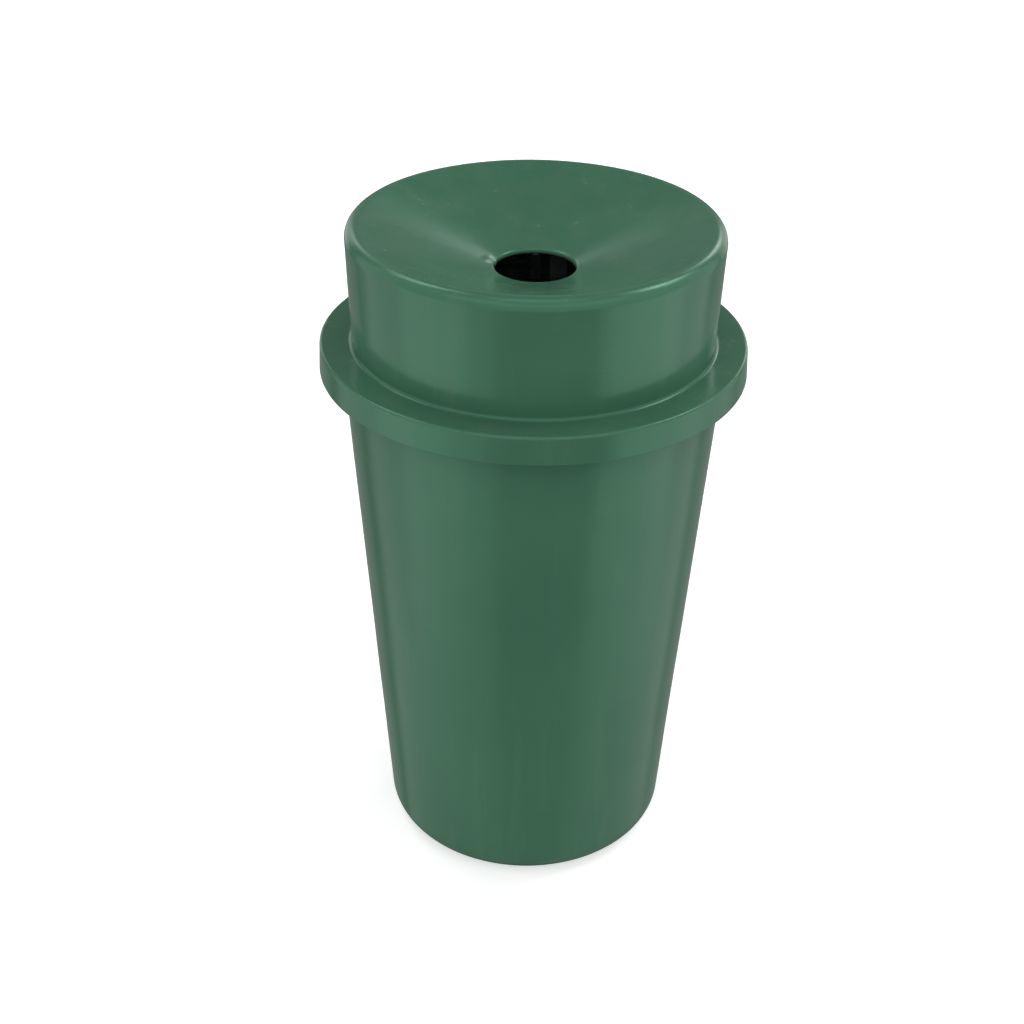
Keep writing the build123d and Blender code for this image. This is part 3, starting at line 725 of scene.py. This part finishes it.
def liner_change(point, angle):
    """Raised lock seam down the liner and two swaged stiffening beads round it."""
    out = Vector((point.x, point.y, 0)).normalized()
    from_seam = abs(math.remainder(angle - SEAM_ANGLE, math.tau)) * LINER_FOOT_RADIUS
    step_start, _, step_end = (SEAM_HALF_WIDTH * place for place in SEAM_STEP)
    lift = 0.0
    if point.z < SEAM_TOP:
        lift += SEAM_HEIGHT * (1 - smooth_share(from_seam, step_start, step_end))
    for height in BEAD_HEIGHTS:
        gap = min(1.0, abs(point.z - height) / BEAD_HALF_WIDTH)
        lift += BEAD_DEPTH * (0.5 + 0.5 * math.cos(math.pi * gap))
    return point + out * lift


def liner_heights():
    """Heights of the rings of the liner's wall, close together across the beads."""
    heights = [LINER_FOOT]
    for bead in BEAD_HEIGHTS:
        heights += spaced(heights[-1], bead - BEAD_HALF_WIDTH, LINER_STEP)
        heights += spaced(heights[-1], bead + BEAD_HALF_WIDTH, BEAD_STEP)
    heights += spaced(heights[-1], SEAM_TOP - SEAM_END / 2, LINER_STEP)
    return heights + [SEAM_TOP + SEAM_END / 2]


def spaced(start, end, step):
    """Evenly spaced values after the start, up to and with the end."""
    count = math.ceil((end - start) / step)
    return [start + (end - start) * part / count for part in range(1, count + 1)]


def liner_outline():
    """Closed outline of the sheet: outer side up, round the wire, back and down the inner side."""
    taper = math.atan2(LINER_TOP_RADIUS - LINER_FOOT_RADIUS, LINER_TOP - LINER_FOOT)
    inner = LINER_SHEET / math.cos(taper)
    heights = liner_heights()
    out_side = [Vector((liner_radius(z), z)) for z in heights]
    in_side = [Vector((liner_radius(z) - inner, z)) for z in reversed(heights)]
    across = Vector((math.cos(taper), -math.sin(taper)))
    centre = Vector((LINER_TOP_RADIUS, LINER_TOP)) + across * RIM_WIRE_RADIUS
    near_curl, far_curl = [], []
    for count in range(CURL_STEPS + 1):
        turn = Matrix.Rotation(-RIM_CURL * count / CURL_STEPS, 2)
        near_curl.append(centre + turn @ (-across) * RIM_WIRE_RADIUS)
        far_curl.append(centre + turn @ (-across) * (RIM_WIRE_RADIUS + LINER_SHEET))
    outline = out_side + near_curl + far_curl[::-1] + in_side
    return [(point, SHOWN_SIDE) for point in outline]


def build_liner():
    half_seam = SEAM_HALF_WIDTH / LINER_FOOT_RADIUS
    seam_edges = [SEAM_ANGLE + way * half_seam * edge for way in (-1, 1) for edge in SEAM_STEP]
    angles = sorted(even_angles(TURNS) + seam_edges)
    liner = lathe("liner_sheet", liner_outline(), angles, liner_change)
    liner.data.materials.append(finishes["galvanised_sheet"])
    finish_piece(liner, "liner_shell", "liner")


# ---------------------------------------------------------------- hardware with its CAD shape

# widths of the softened edges, in millimetres
EDGE_ROUNDS = {
    "floor_plate": 0.5,
    "rim_trim": 0.5,
    "lock_keeper": 0.5,
    "lock_barrel": 0.3,
    "lock_washer": 0.25,
    "lock_nut": 0.5,
    "lock_plug": 0.2,
    "lock_cam": 0.45,
    "cam_screw": 0.25,
    "liner_floor": 0.3,
    "handle_lug_left": 0.5,
    "handle_lug_right": 0.5,
    "handle_left": 0.6,
    "handle_right": 0.6,
}
EDGE_SEGMENTS = 2
EDGE_ANGLE = math.radians(40)
WELD_REACH = 0.01 * MM


def dress_hardware():
    """Gives each carried-over CAD node its finish and softened edges."""
    for name, node in nodes.items():
        node.material_slots[0].material = finishes[slot_of[name]]
        if name in EDGE_ROUNDS:
            weld = node.modifiers.new("weld", "WELD")
            weld.merge_threshold = WELD_REACH
            bevel = node.modifiers.new("edges", "BEVEL")
            bevel.width = EDGE_ROUNDS[name] * MM
            bevel.segments = EDGE_SEGMENTS
            bevel.limit_method = "ANGLE"
            bevel.angle_limit = EDGE_ANGLE
            normals = node.modifiers.new("normals", "WEIGHTED_NORMAL")
            normals.keep_sharp = True


# ---------------------------------------------------------------- studio

FLOOR_RADIUS = 15 * HEIGHT
FLOOR_SIDES = 64
FLOOR_DROP = 0.2 * MM
FLOOR_TONES = ((0.90, 0.90, 0.90, 1), (0.93, 0.93, 0.93, 1))
FLOOR_GLOW = 0.5

# The camera's place in bin heights, its lens in millimetres, and how it is turned to the left,
# tilted down and rolled.
CAMERA_PLACE = Vector((0, -2.2128, 1.8784)) * HEIGHT
CAMERA_LENS = 60.16
CAMERA_TURN = math.radians(0.706)
CAMERA_TILT = math.radians(31.289)
CAMERA_ROLL = math.radians(0.839)
LEVEL_TILT = math.radians(90)

# Soft light: an even level and patches of more light.  A patch spans azimuths (0 is the front, 90
# is +X, 180 is the back) and elevations in degrees, and has a strength.  Its edges fade over
# LIGHT_FADE.
EVEN_LIGHT = 0.05
LIGHT_FADE = 14
PATCHES = {
    "front": ((-24, 42), (-8, 50), 0.75),
    "front_high": ((-60, 60), (35, 75), 0.5),
    "front_low": ((-24, 42), (-90, -8), 0.12),
    "left": ((-124, -24), (-45, 60), 0.68),
    "left_low": ((-88, -42), (-40, -8), 0.6),
    "left_floor": ((-130, -20), (-90, -45), 0.25),
    "right": ((42, 130), (-45, 60), 0.68),
    "right_low": ((46, 100), (-38, -10), 0.6),
    "right_floor": ((35, 130), (-90, -45), 0.25),
    "back": ((162, 198), (5, 34), 0.18),
    "back_low": ((135, 225), (-60, -20), 0.25),
    "back_left": ((-160, -140), (-15, 18), 1.2),
    "back_right": ((140, 160), (-15, 18), 1.2),
    "zenith": ((-180, 180), (76, 90), 1.3),
    "lamp_left": ((-150, -118), (46, 62), 4.5),
    "lamp_left_back": ((-162, -148), (18, 32), 2.2),
    "lamp_right": ((100, 135), (42, 58), 6.0),
    "lamp_right_back": ((148, 162), (18, 32), 5.0),
}


def build_floor():
    """A pale floor that the camera sees, but that throws no light or shadow on the bin."""
    mesh = bmesh.new()
    bmesh.ops.create_circle(mesh, cap_ends=True, segments=FLOOR_SIDES, radius=FLOOR_RADIUS)
    floor = as_object("studio_floor", mesh)
    floor.location.z = -FLOOR_DROP
    floor.visible_glossy = False
    floor.visible_diffuse = False
    floor.visible_shadow = False
    s = new_shader("studio_floor")
    tone = s.mix(s.remap(s.noise(scale=3), 0.3, 0.7), *FLOOR_TONES)
    s.dress(Base_Color=tone, Roughness=0.9, Emission_Color=WHITE, Emission_Strength=FLOOR_GLOW)
    floor.data.materials.append(s.owner)


def fade_in(s, angle, edge):
    """0 below the edge and 1 above it, fading over LIGHT_FADE."""
    return s.remap(angle, edge - LIGHT_FADE / 2, edge + LIGHT_FADE / 2)


def fade_out(s, angle, edge):
    """1 below the edge and 0 above it, fading over LIGHT_FADE."""
    return s.remap(angle, edge - LIGHT_FADE / 2, edge + LIGHT_FADE / 2, 1.0, 0.0)


def build_light():
    world = bpy.data.worlds.new("studio")
    bpy.context.scene.world = world
    s = Shader(world)
    towards = s.node("SeparateXYZ", Vector=s.node("TexCoord").outputs["Generated"])
    x, y, z = towards.outputs
    elevation = s.math("DEGREES", s.math("ARCSINE", z))
    azimuth = s.math("DEGREES", s.math("ARCTAN2", x, s.math("MULTIPLY", y, -1.0)))
    level = EVEN_LIGHT
    for (first, last), (low, high), strength in PATCHES.values():
        # the angle between this azimuth and the patch's middle, from 0 to 180
        off = s.math("SUBTRACT", azimuth, (first + last) / 2)
        off = s.math("ABSOLUTE", s.math("WRAP", off, 180.0, -180.0))
        share = s.math("MULTIPLY", fade_in(s, elevation, low), fade_out(s, elevation, high))
        share = s.math("MULTIPLY", fade_out(s, off, (last - first) / 2), share)
        level = s.plus(level, share, strength)
    # the camera sees plain white behind the floor's edge
    level = s.math("MAXIMUM", level, s.node("LightPath").outputs["Is Camera Ray"])
    background = s.tree.nodes["Background"]
    s.feed(background.inputs["Color"], WHITE)
    s.feed(background.inputs["Strength"], level)


def build_camera():
    """The photo's viewing angle."""
    lens = bpy.data.cameras.new("camera")
    lens.lens = CAMERA_LENS
    camera = bpy.data.objects.new("camera", lens)
    bpy.context.scene.collection.objects.link(camera)
    turn = Matrix.Rotation(CAMERA_TURN, 4, "Z")
    tilt = Matrix.Rotation(LEVEL_TILT - CAMERA_TILT, 4, "X")
    roll = Matrix.Rotation(CAMERA_ROLL, 4, "Z")
    camera.matrix_world = Matrix.Translation(CAMERA_PLACE) @ turn @ tilt @ roll
    bpy.context.scene.camera = camera


# without a seed the waves and the blemish would differ in every run
noise.seed_set(WAVE_SEED)
build_hood()
build_body()
build_liner()
dress_hardware()
build_floor()
build_light()
build_camera()
bpy.context.scene.view_settings.view_transform = "Standard"

bpy.context.view_layer.update()
